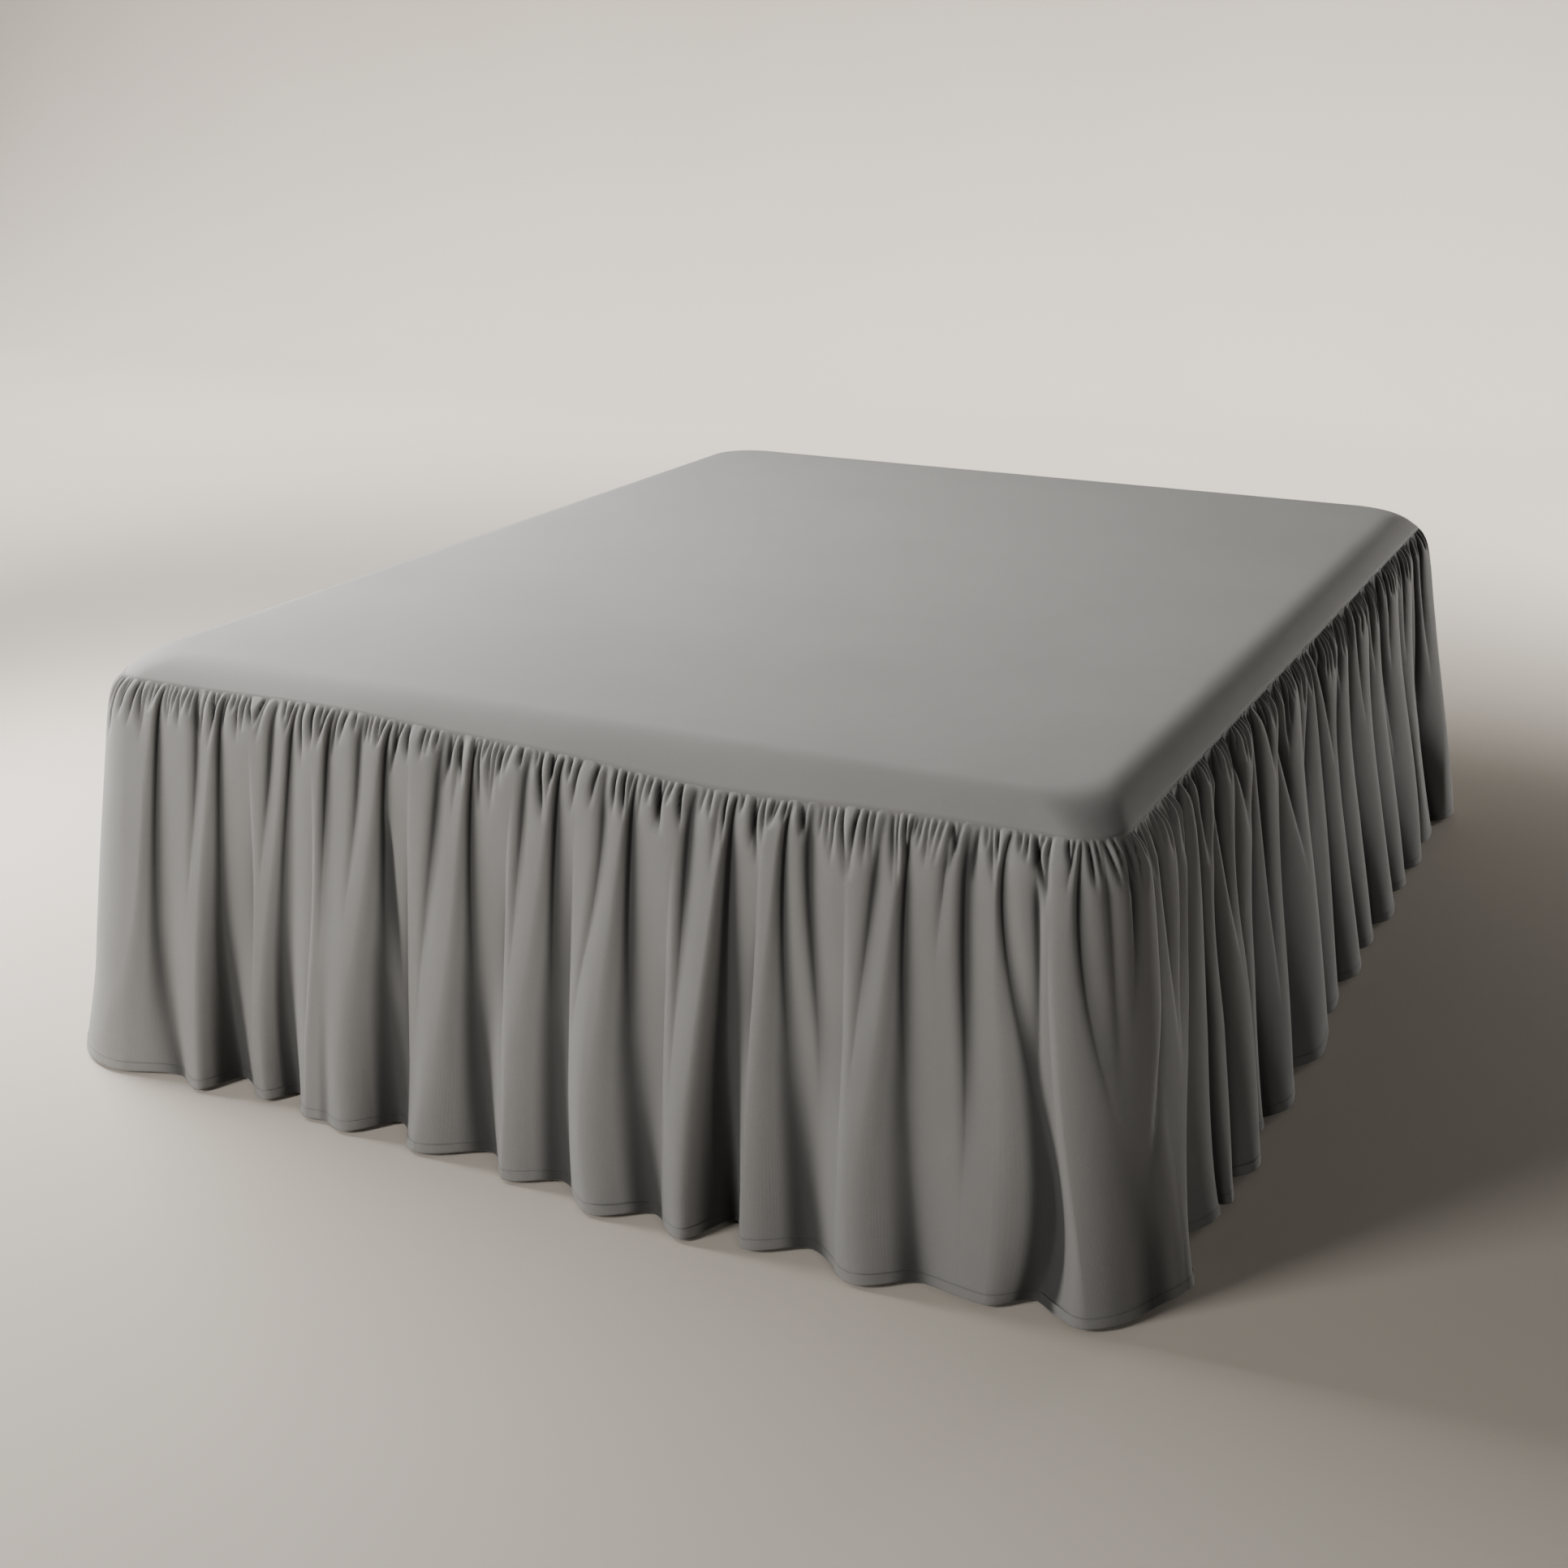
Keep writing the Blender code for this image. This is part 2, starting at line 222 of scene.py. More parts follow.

# How the folds of a face stand. "falling" and "rising" are the widths of a fold's two flanks: at the seam,
# and how they grow with the first and third power of the distance below it. "groove" is how deep the grooves
# are under the seam, and "early" how soon a rising flank reaches its crest. "slit", "slit_left" and
# "slit_right" are the depth of the slits that the grooves start as, and their widths at the seam and for each
# metre below it. "creases", "gathers" and "reach" scale the depth of its creases and gathers, and the spare
# gathers' reach. "hollow" is how far above its surroundings a place still counts as lying in a hollow, and
# how deep the darkest hollows are; shade is painted into the cloth's colour there. "growth" is the power of
# the fall by which the folds swing out.
Stance = namedtuple(
    "Stance", "falling rising groove early slit slit_left slit_right creases gathers reach hollow growth"
)
FOOT_STANCE = Stance(
    falling=(0.004, 0.080, 0.350),
    rising=(0.050, 0.250, 0.0),
    groove=0.003,
    early=0.0,
    slit=0.009,
    slit_left=(0.0022, 0.010),
    slit_right=(0.0040, 0.100),
    creases=1.2,
    gathers=2.1,
    reach=2.4,
    hollow=(0.0005, 0.0065),
    growth=1.05,
)
SIDE_STANCE = Stance(
    falling=(0.008, 0.028, 0.0),
    rising=(1.0, 0.0, 0.0),
    groove=0.016,
    early=0.8,
    slit=0.030,
    slit_left=(0.0030, 0.015),
    slit_right=(0.0100, 0.140),
    creases=2.2,
    gathers=2.2,
    reach=2.2,
    hollow=(0.0055, 0.0090),
    growth=1.2,
)

# Places are millimetres along the face, from the corner that the table names. A path is four of them: at the
# seam, 150 and 300 mm below it, and at the hem. An "out" is how far the hem stands away from the seam line,
# and "start" is how deep the groove already is under the seam, from 0 to 1.
Fold = namedtuple("Fold", "crest crest_out groove groove_out start")

FOOT_FOLDS = (
    Fold((0, 0, 0, 0), 0, (-165, -165, -165, -165), 30, 1.0),
    Fold((-134, -132, -133, -134), 94, (-114, -112, -110, -106), 72, 0.5),
    Fold((108, 96, 88, 0), 100, (122, 114, 114, 150), 64, 0.9),
    Fold((228, 214, 203, 208), 89, (239, 233, 232, 243), 27, 1.0),
    Fold((357, 348, 326, 318), 68, (374, 360, 348, 352), 28, 1.0),
    Fold((425, 421, 414, 405), 82, (440, 432, 430, 437), 78, 1.0),
    Fold((526, 512, 490, 480), 91, (541, 534, 534, 543), 34, 1.0),
    Fold((670, 666, 655, 612), 92, (686, 683, 688, 712), 45, 1.0),
    Fold((808, 804, 784, 770), 99, (826, 822, 824, 842), 68, 1.0),
    Fold((914, 916, 904, 925), 122, (942, 941, 950, 997), 84, 1.0),
    Fold((1076, 1071, 1060, 1063), 123, (1091, 1088, 1092, 1107), 50, 1.1),
    Fold((1160, 1154, 1146, 1150), 103, (1171, 1170, 1184, 1225), 64, 0.9),
    Fold((1318, 1317, 1304, 1312), 112, (1340, 1339, 1350, 1385), 70, 0.9),
    Fold((1458, 1460, 1468, 1476), 80, (1469, 1474, 1514, 1530), 43, 0.9),
    Fold((1540, 1541, 1552, 1578), 92, (1562, 1566, 1592, 1632), 82, 0.8),
    Fold((1805, 1808, 1754, 1680), 100, (1838, 1824, 1784, 1765), 30, 1.0),
)
RIGHT_FOLDS = (
    Fold((0, 0, 0, 0), 0, (238, 224, 184, 165), 30, 1.0),
    Fold((246, 284, 271, 262), 85, (268, 300, 291, 282), 74, 0.8),
    Fold((370, 347, 336, 298), 92, (386, 362, 352, 343), 50, 1.0),
    Fold((463, 446, 447, 408), 101, (480, 464, 466, 465), 52, 1.0),
    Fold((556, 543, 520, 519), 80, (580, 562, 546, 545), 66, 0.5),
    Fold((714, 683, 668, 612), 100, (732, 702, 688, 690), 38, 1.0),
    Fold((810, 824, 838, 800), 104, (850, 862, 880, 900), 55, 0.4),
    Fold((934, 966, 985, 970), 86, (958, 986, 1006, 1045), 48, 0.6),
    Fold((1122, 1083, 1088, 1130), 92, (1138, 1104, 1116, 1195), 50, 1.0),
    Fold((1180, 1182, 1205, 1262), 86, (1215, 1210, 1238, 1320), 50, 0.9),
    Fold((1360, 1340, 1355, 1398), 96, (1388, 1368, 1388, 1480), 46, 1.0),
    Fold((1440, 1450, 1488, 1558), 88, (1472, 1480, 1520, 1610), 50, 1.0),
    Fold((1620, 1618, 1660, 1690), 93, (1648, 1650, 1692, 1755), 50, 1.0),
    Fold((1770, 1748, 1755, 1832), 85, (1795, 1780, 1800, 1915), 44, 1.0),
    Fold((1950, 1960, 1972, 1992), 125, (2035, 2035, 2032, 2030), 96, 0.6),
    Fold((2070, 2071, 2073, 2075), 123, (2115, 2115, 2117, 2118), 92, 0.4),
)
LEFT_FOLDS = (
    Fold((0, 0, 0, 0), 0, (165, 165, 165, 165), 30, 1.0),
    Fold((225, 232, 238, 240), 92, (288, 300, 304, 300), 45, 1.0),
    Fold((372, 362, 366, 372), 88, (432, 424, 430, 440), 58, 0.9),
    Fold((505, 508, 520, 520), 108, (590, 586, 592, 600), 38, 1.0),
    Fold((650, 660, 668, 668), 84, (712, 724, 728, 725), 50, 0.8),
    Fold((812, 800, 804, 815), 104, (880, 876, 886, 900), 44, 1.0),
    Fold((960, 958, 966, 975), 90, (1028, 1032, 1044, 1050), 56, 0.8),
    Fold((1110, 1122, 1126, 1125), 118, (1186, 1194, 1202, 1205), 42, 1.0),
    Fold((1272, 1262, 1266, 1275), 87, (1334, 1326, 1336, 1345), 52, 0.9),
    Fold((1405, 1410, 1416, 1420), 99, (1488, 1482, 1490, 1500), 46, 1.0),
    Fold((1555, 1566, 1572, 1570), 90, (1618, 1632, 1638, 1640), 55, 0.8),
    Fold((1722, 1712, 1716, 1725), 105, (1802, 1796, 1802, 1810), 40, 1.0),
    Fold((1870, 1878, 1884, 1885), 86, (1926, 1932, 1938, 1940), 58, 0.9),
    Fold((1990, 1992, 1994, 1995), 120, (2038, 2038, 2037, 2036), 90, 0.6),
    Fold((2070, 2073, 2076, 2078), 112, (2112, 2114, 2117, 2120), 84, 0.4),
)


# A crease is a smaller furrow, beside those of the folds. Its path is four places as well, with the last at
# 500 mm. It runs from "top" to "foot", both below the seam, and is "depth" deep. "left" and "right" are how
# wide its flanks are, and they widen on the way down.
Crease = namedtuple("Crease", "path top foot depth left right")

FOOT_CREASES = (
    Crease((93, 86, 80, 80), 0, 90, 6, 4, 7),
    Crease((191, 192, 184, 178), 0, 340, 8, 5, 12),
    Crease((296, 297, 297, 286), 30, 1200, 5, 18, 3),
    Crease((336, 325, 312, 306), 0, 280, 9, 5, 10),
    Crease((404, 414, 412, 401), 40, 1200, 5, 14, 3),
    Crease((492, 488, 476, 470), 0, 300, 8, 5, 10),
    Crease((541, 542, 556, 570), 120, 400, 8, 9, 6),
    Crease((586, 580, 577, 580), 10, 1200, 6, 18, 3),
    Crease((632, 622, 609, 602), 0, 470, 9, 6, 16),
    Crease((665, 655, 650, 650), 0, 120, 6, 4, 8),
    Crease((763, 750, 748, 758), 10, 1200, 6, 20, 3),
    Crease((775, 768, 764, 762), 0, 330, 8, 5, 10),
    Crease((865, 856, 857, 868), 30, 1200, 5, 18, 3),
    Crease((893, 896, 877, 868), 0, 430, 8, 6, 12),
    Crease((1019, 1009, 1009, 1020), 40, 1200, 5, 22, 4),
    Crease((1030, 1027, 1028, 1030), 0, 440, 11, 6, 14),
    Crease((1070, 1066, 1060, 1060), 0, 110, 6, 4, 7),
    Crease((1138, 1135, 1133, 1133), 20, 1200, 10, 20, 3),
    Crease((1201, 1208, 1230, 1240), 0, 420, 12, 6, 20),
    Crease((1253, 1262, 1268, 1276), 10, 1200, 5, 18, 5),
    Crease((1302, 1293, 1287, 1282), 0, 380, 9, 6, 14),
    Crease((1416, 1418, 1431, 1438), 0, 500, 13, 6, 20),
    Crease((1393, 1386, 1384, 1384), 0, 190, 7, 5, 9),
    Crease((1502, 1517, 1524, 1524), 10, 340, 10, 7, 6),
    Crease((1529, 1532, 1544, 1560), 40, 1200, 6, 12, 4),
    Crease((1590, 1600, 1606, 1612), 0, 330, 6, 7, 12),
    Crease((1626, 1628, 1614, 1600), 0, 240, 11, 5, 16),
    Crease((1676, 1682, 1658, 1626), 0, 470, 16, 5, 24),
    Crease((1716, 1728, 1726, 1724), 0, 330, 12, 5, 16),
    Crease((1766, 1776, 1734, 1724), 0, 330, 13, 5, 16),
)
RIGHT_CREASES = (
    Crease((308, 342, 346, 346), 0, 150, 9, 5, 14),
    Crease((400, 414, 432, 440), 0, 320, 9, 5, 16),
    Crease((482, 540, 556, 560), 0, 170, 8, 5, 14),
    Crease((600, 614, 618, 620), 0, 460, 8, 5, 16),
    Crease((634, 688, 696, 700), 0, 130, 7, 5, 12),
    Crease((742, 768, 820, 850), 0, 320, 9, 5, 18),
    Crease((782, 790, 800, 800), 0, 120, 7, 5, 12),
    Crease((924, 904, 896, 890), 0, 300, 13, 5, 24),
    Crease((978, 1052, 1076, 1080), 0, 230, 8, 5, 14),
    Crease((1020, 1030, 1034, 1036), 0, 90, 7, 5, 12),
    Crease((1160, 1150, 1150, 1150), 0, 120, 7, 5, 12),
    Crease((1240, 1230, 1228, 1230), 0, 240, 9, 6, 12),
    Crease((1280, 1300, 1325, 1330), 0, 230, 6, 6, 12),
    Crease((1410, 1425, 1440, 1450), 0, 160, 6, 6, 10),
    Crease((1500, 1530, 1570, 1600), 0, 400, 6, 8, 16),
    Crease((1560, 1568, 1580, 1590), 0, 200, 6, 6, 12),
    Crease((1700, 1715, 1722, 1730), 0, 220, 7, 6, 12),
    Crease((1835, 1845, 1836, 1790), 0, 420, 9, 7, 12),
    Crease((1880, 1885, 1895, 1900), 0, 300, 6, 7, 12),
)
LEFT_CREASES = (
    Crease((60, 66, 76, 80), 0, 240, 7, 6, 12),
    Crease((130, 120, 112, 110), 0, 380, 8, 6, 14),
    Crease((196, 190, 184, 180), 0, 180, 7, 6, 10),
    Crease((255, 262, 268, 270), 0, 160, 6, 5, 9),
    Crease((330, 322, 322, 325), 0, 420, 8, 6, 14),
    Crease((398, 404, 404, 400), 0, 150, 6, 5, 9),
    Crease((468, 478, 486, 490), 0, 300, 8, 6, 12),
    Crease((548, 552, 560, 560), 0, 460, 6, 12, 6),
    Crease((620, 630, 634, 640), 0, 240, 8, 6, 12),
    Crease((684, 694, 700, 700), 0, 150, 6, 5, 9),
    Crease((752, 758, 768, 770), 0, 380, 8, 6, 14),
    Crease((846, 838, 842, 850), 0, 220, 7, 6, 12),
    Crease((922, 914, 918, 925), 0, 300, 8, 6, 12),
    Crease((992, 996, 1004, 1010), 0, 160, 6, 5, 9),
    Crease((1066, 1078, 1084, 1090), 0, 400, 8, 6, 14),
    Crease((1148, 1156, 1160, 1160), 0, 190, 7, 6, 12),
    Crease((1230, 1222, 1226, 1230), 0, 260, 8, 6, 12),
    Crease((1300, 1294, 1300, 1305), 0, 150, 6, 5, 9),
    Crease((1368, 1370, 1376, 1380), 0, 340, 8, 6, 14),
    Crease((1446, 1446, 1452, 1455), 0, 220, 7, 6, 12),
    Crease((1520, 1528, 1534, 1535), 0, 280, 8, 6, 12),
    Crease((1588, 1600, 1606, 1608), 0, 170, 6, 5, 9),
    Crease((1668, 1674, 1680, 1680), 0, 400, 8, 6, 14),
    Crease((1762, 1754, 1758, 1760), 0, 200, 7, 6, 12),
    Crease((1836, 1842, 1848, 1850), 0, 300, 8, 6, 12),
    Crease((1898, 1906, 1910, 1910), 0, 160, 6, 5, 9),
)

# A gather is a short furrow that starts at the seam. "lean" is how far along the face its lower end lies.
Gather = namedtuple("Gather", "at lean reach depth width")

FOOT_GATHERS = (
    Gather(30, -8, 50, 5, 4),
    Gather(52, -10, 60, 5, 4),
    Gather(72, -10, 70, 5, 4),
    Gather(152, 12, 60, 5, 4),
    Gather(176, 5, 40, 5, 3),
    Gather(216, 12, 42, 7, 3),
    Gather(256, 5, 24, 6, 3),
    Gather(284, 17, 40, 8, 3),
    Gather(312, -10, 42, 7, 3),
    Gather(350, 9, 28, 6, 3),
    Gather(402, 9, 60, 7, 4),
    Gather(462, -4, 48, 6, 4),
    Gather(477, 8, 26, 5, 3),
    Gather(518, 8, 34, 5, 3),
    Gather(571, 9, 50, 6, 4),
    Gather(619, 5, 26, 6, 3),
    Gather(641, 8, 60, 6, 4),
    Gather(680, 5, 26, 5, 3),
    Gather(704, -2, 30, 5, 3),
    Gather(727, 8, 60, 4, 4),
    Gather(759, 6, 28, 7, 3),
    Gather(783, 6, 22, 5, 3),
    Gather(792, 14, 95, 9, 3),
    Gather(808, 9, 34, 7, 3),
    Gather(838, 5, 30, 6, 3),
    Gather(909, 6, 62, 7, 3),
    Gather(923, 9, 64, 8, 3),
    Gather(976, 12, 70, 9, 3),
    Gather(996, -2, 30, 5, 3),
    Gather(1009, 9, 60, 8, 3),
    Gather(1054, 6, 36, 5, 3),
    Gather(1076, 5, 66, 7, 3),
    Gather(1100, 3, 24, 6, 3),
    Gather(1117, 17, 96, 6, 4),
    Gather(1132, 8, 56, 6, 3),
    Gather(1146, -2, 36, 5, 3),
    Gather(1162, 4, 26, 6, 3),
    Gather(1184, 12, 46, 8, 4),
    Gather(1221, 9, 54, 6, 4),
    Gather(1242, 18, 90, 6, 4),
    Gather(1311, 14, 90, 6, 4),
    Gather(1345, -2, 28, 6, 3),
    Gather(1391, 11, 40, 7, 3),
    Gather(1436, 6, 26, 6, 3),
    Gather(1451, 7, 44, 8, 3),
    Gather(1480, 6, 24, 6, 3),
    Gather(1489, 6, 32, 7, 3),
    Gather(1499, 24, 70, 10, 3.5),
    Gather(1542, 8, 28, 6, 3),
    Gather(1572, 10, 60, 7, 4),
    Gather(1597, 18, 60, 6, 4),
)


def mix(first, last, share):
    return first + (last - first) * share


def ease(share):
    return 0.5 - 0.5 * np.cos(np.pi * np.clip(share, 0.0, 1.0))


def foot_seam(along):
    waves = (rise * np.exp(-(((along - middle) / spread) ** 2)) for middle, spread, rise in FOOT_SEAM_WAVES)
    return SEAM_HEIGHT + sum(waves)


def side_seam(along):
    return np.full_like(along, SEAM_HEIGHT)


def round_corners(along, out, length):
    """The same places measured straight along and away from the face, as the cloth turns round its ends."""
    run, away = along, out
    for corner, way in ((0.0, -1), (length, 1)):
        past = (along - corner) * way + SEAM_RADIUS
        angle = np.clip(past / (2 * SEAM_RADIUS), 0.0, 1.0) * math.pi / 2
        beyond = np.maximum(past - 2 * SEAM_RADIUS, 0.0)
        reach = SEAM_RADIUS + out
        turned = past > 0.0
        run = np.where(turned, corner + way * (reach * np.sin(angle) - SEAM_RADIUS), run)
        away = np.where(turned, reach * np.cos(angle) - SEAM_RADIUS - beyond, away)
    return run, away


def place_on_foot(run, away):
    return run - WIDTH / 2, -LENGTH / 2 - away


def place_on_right(run, away):
    return WIDTH / 2 + away, run - LENGTH / 2


def place_on_left(run, away):
    return -WIDTH / 2 - away, run - LENGTH / 2


def paths_at(paths, falls, last):
    """Where paths run at each distance below the seam: a cubic through their four places."""
    stations = (*STATIONS, last)
    falls = np.minimum(falls, last)
    shares = []
    for here in stations:
        share = np.ones_like(falls)
        for other in stations:
            if other != here:
                share = share * (falls - other) / (here - other)
        shares.append(share)
    return np.stack(shares, axis=1) @ np.asarray(paths, dtype=float).T * MM


def fold_flanks(folds):
    """The flanks of a table's folds, each as (groove's row, crest's row, whether it falls to its groove)."""
    flanks = []
    groove = folds[0]
    for fold in folds[1:]:
        flanks.append((groove, fold, False))
        flanks.append((fold, fold, True))
        groove = fold
    return flanks


def fold_surface(folds, stance, falls, drop):
    """Places along the face and distances out from it, for every row and column of a ruffle."""
    flanks = fold_flanks(folds)
    widths = [abs(np.mean(crest.crest) - np.mean(groove.groove)) for groove, crest, _ in flanks]
    counts = [max(LEAST_COLUMNS, round(COLUMNS * width / sum(widths))) for width in widths]
    share = (falls / drop)[:, None]
    puff = BULGE * (1.0 - np.exp(-falls / BULGE_DEPTH))[:, None]
    opening = (1.0 - np.exp(-falls / GROOVE_START))[:, None] * (1.0 - share) ** GROOVE_FADE
    alongs, outs = [], []
    for (groove, crest, falling), count in zip(flanks, counts):
        ends = paths_at((groove.groove, crest.crest), falls, drop)
        steps = np.arange(count) / count
        climb = 1 - steps if falling else steps
        gap = np.abs(ends[:, 1] - ends[:, 0])
        base, spread, flare = stance.falling if falling else stance.rising
        width = np.minimum(base + spread * falls + flare * falls**3, gap)
        flank = np.clip(climb[None, :] * (gap / width)[:, None], 0, 1)
        early = 0.0 if falling else stance.early
        crestness = mix(ease(flank**FALL_TAIL if falling else flank), 1 - (1 - flank) ** 3, early)
        crestness = mix(crestness, ease(climb)[None, :], DOME)
        high = puff + (crest.crest_out * MM - BULGE) * share**stance.growth
        low = puff + (MEAN_CREST_OUT - BULGE) * share**stance.growth - stance.groove * groove.start * opening
        low = low - (MEAN_CREST_OUT - groove.groove_out * MM) * share**GROOVE_GROWTH
        low = HEAD + (low - HEAD) / (1 + np.exp(-(low - HEAD) / HEAD_SOFTNESS))
        alongs.append(mix(ends[:, :1], ends[:, 1:], climb[None, :]))
        outs.append(mix(low, high, crestness))
    alongs.append(ends[:, :1])
    outs.append(low)
    return np.concatenate(alongs, axis=1), np.concatenate(outs, axis=1)


def slit_depth(folds, stance, along, falls, drop):
    """The narrow, deep slits that the grooves start as, under the seam."""
    total = np.zeros_like(along)
    down = np.clip(falls / SLIT_FOOT, 0, 1)
    fade = (1 - down**2) ** SLIT_FADE * (1 - np.exp(-falls / FURROW_START))
    left = stance.slit_left[0] + stance.slit_left[1] * falls
    right = stance.slit_right[0] + stance.slit_right[1] * falls
    for fold in folds:
        path = paths_at([fold.groove], falls, drop)
        depth = stance.slit * fold.start * fade
        total += depth[:, None] * furrow(along - path, left[:, None], right[:, None])
    return total


def fall_rows(drop):
    """Distances below the heading: close together among the gathers and at the hem."""
    firsts, counts = zip(*ROW_BANDS)
    lasts = (*firsts[1:], drop - HEM_ZONE)
    bands = (np.linspace(*band, endpoint=False) for band in zip(firsts, lasts, counts))
    return np.concatenate((*bands, drop - np.array(HEM_ROWS)))


def furrow(distance, left, right):
    """1 at a furrow's bottom, falling away over its left and right widths."""
    return np.exp(-(np.abs(distance / np.where(distance < 0, left, right)) ** FURROW_POWER))


def crease_depth(creases, along, falls):
    total = np.zeros_like(along)
    for crease in creases:
        top, foot = crease.top * MM, crease.foot * MM
        down = np.clip((falls - top) / (foot - top), 0, 1)
        if top:
            start = ease((falls - top) / (CREASE_START * (foot - top)))
        else:
            start = 1 - np.exp(-falls / FURROW_START)
        depth = crease.depth * MM * start * (1 - down**2) ** CREASE_FADE
        widening, steady = 1 + falls / CREASE_WIDENING, np.ones_like(falls)
        left = crease.left * MM * (widening if crease.left > crease.right else steady)
        right = crease.right * MM * (widening if crease.right > crease.left else steady)
        path = paths_at([crease.path], falls, CREASE_LAST)
        total += depth[:, None] * furrow(along - path, left[:, None], right[:, None])
    return total


def below_surroundings(along, out, spread):
    """How far each point lies below the cloth around it."""
    spots = np.arange(along.min(), along.max(), HOLLOW_STEP)
    reach = np.arange(-BLUR_REACH * spread, BLUR_REACH * spread, HOLLOW_STEP)
    weights = np.exp(-0.5 * (reach / spread) ** 2)
    weights /= weights.sum()
    result = np.zeros_like(out)
    for row, (places, height) in enumerate(zip(along, out)):
        order = np.argsort(places)
        even = np.interp(spots, places[order], height[order])
        padded = np.pad(even, len(reach) // 2, mode="edge")
        around = np.convolve(padded, weights, mode="same")[len(reach) // 2 : len(reach) // 2 + len(spots)]
        result[row] = np.interp(places, spots, around) - height
    return result


def hollows(stance, along, out):
    """How far each point lies in a wide hollow or a thin slit, from 0 to 1: how much painted shade darkens
    the cloth there.
    """
    above, deepest = stance.hollow
    wide = ease((below_surroundings(along, out, HOLLOW_SPREAD) + above) / deepest)
    thin = ease((below_surroundings(along, out, THIN_SPREAD) - THIN_LEAST) / THIN_DEEPEST)
    return np.maximum(wide, thin)


def spare_gathers(random, folds, creases, gathers, length, longer):
    """The small gathers in between the named ones."""
    taken = [fold.groove[0] for fold in folds] + [crease.path[0] for crease in creases]
    taken = np.array(taken + [gather.at for gather in gathers])
    spares = []
    place = SPARE_FIRST
    while place < length / MM + SPARE_PAST:
        if np.min(np.abs(taken - place)) > SPARE_CLEARANCE:
            reach = longer * SPARE_REACH * SPARE_LONGEST ** random.uniform(0, 1)
            depth = random.uniform(*SPARE_DEPTHS)
            lean = random.uniform(*SPARE_LEANS) * reach
            spares.append(Gather(place, lean, reach, depth, random.uniform(*SPARE_WIDTHS)))
        place += random.uniform(*SPARE_PITCHES)
    return spares


def gather_depth(gathers, along, falls):
    total = np.zeros_like(along)
    for gather in gathers:
        down = falls / (gather.reach * MM)
        path = (gather.at + gather.lean * np.minimum(down, GATHER_LEAN_END)) * MM
        depth = gather.depth * MM * np.clip(1 - down**2, 0, 1) ** GATHER_FADE
        width = (GATHER_WIDTH * gather.width * MM + GATHER_WIDENING * falls)[:, None]
        total += depth[:, None] * furrow(along - path[:, None], width, width)
    return total


def joined(out, along, falls, drop, ends):
    """The cloth drawn in to one line at its joined ends, where the next ruffle starts."""
    line = HEAD + JOIN_OUT * (falls / drop)[:, None] ** JOIN_GROWTH
    for end in ends:
        out = mix(line, out, ease(np.abs(along - along[:, end][:, None]) / JOIN_WIDTH))
    return out


def ruffle(name, folds, creases, gathers, stance, length, seam_at, place, ends, seed):
    """One length of the ruffle. "ends" are the columns where the next length is joined to it."""
    random = np.random.default_rng(seed)
    drop = SEAM_HEIGHT - HEM_HEIGHT
    falls = fall_rows(drop)
    along, out = fold_surface(folds, stance, falls, drop)
    gathers = [*gathers, *spare_gathers(random, folds, creases, gathers, length, stance.reach)]
    furrows = stance.creases * crease_depth(creases, along, falls)
    furrows += stance.gathers * gather_depth(gathers, along, falls)
    depth = slit_depth(folds, stance, along, falls, drop) + furrows
    room = out + HEAD
    out = room * (1 - np.tanh(depth / room)) - HEAD / 2
    out = joined(out, along, falls, drop, ends)

    # painted shade: how deep each point lies in a hollow, which darkens the cloth's colour there
    hollow = hollows(stance, along, out)
    out += HEM_STEP * ease((falls - drop + HEM_TURN + HEM_EDGE / 2) / HEM_EDGE)[:, None]
    out = np.concatenate((out, *(out[-1:] - inward for inward, _ in TURNED_ROWS)))
    along, hollow = (np.concatenate((grid, *(grid[-1:] for _ in TURNED_ROWS))) for grid in (along, hollow))
    down = np.concatenate(([-HEADING], falls, drop + np.array(TURNED_LENGTHS)))
    falls = np.concatenate((falls, [drop - lift for _, lift in TURNED_ROWS]))

    top = seam_at(along[:1])
    x, y = place(*round_corners(along, out, length))
    z = top - (falls / drop)[:, None] * (top - HEM_HEIGHT)
    points = np.stack((x, y, z), axis=-1)
    x, y = place(*round_corners(along[:1], np.full_like(along[:1], -CLOTH / 2), length))
    heading = np.stack((x, y, z[:1] + HEADING), axis=-1)
    item = sheet_mesh(name, np.concatenate((heading, points)), down)
    hollow = np.concatenate((hollow[:1], hollow))
    # the painted shade mask goes on the mesh as its hollow attribute, read by the cloth material
    item.data.attributes.new("hollow", "FLOAT", "POINT").data.foreach_set("value", hollow.reshape(-1))
    return item


def sheet_mesh(name, points, down):
    """A mesh of quads through a grid of points. Its UV map is in metres along the cloth and down its rows."""
    rows, columns = points.shape[:2]
    mesh = bpy.data.meshes.new(name)
    index = np.arange(rows * columns).reshape(rows, columns)
    quads = np.stack((index[:-1, :-1], index[1:, :-1], index[1:, 1:], index[:-1, 1:]), axis=-1).reshape(-1, 4)
    mesh.from_pydata(points.reshape(-1, 3), [], quads)
    mesh.shade_smooth()
    middle = points[rows // 3]
    across = np.concatenate(([0.0], np.cumsum(np.linalg.norm(np.diff(middle, axis=0), axis=1))))
    uv = np.stack(np.meshgrid(across, -down), axis=-1).reshape(-1, 2)
    layer = mesh.uv_layers.new(name="cloth")
    layer.data.foreach_set("uv", uv[quads.reshape(-1)].reshape(-1))
    item = bpy.data.objects.new(name, mesh)
    bpy.context.scene.collection.objects.link(item)
    return item


def deck_height(inset, x, y):
    """Height of the deck's outside, this far inside the seam line."""
    share = np.clip(1 - inset / SHOULDER_RUN, 0, 1)
    rise = np.where(y < 0, foot_seam(x + WIDTH / 2) - SEAM_HEIGHT, 0.0)
    return DECK_TOP - DECK_DROP * share**SHOULDER_POWER + share**3 * rise


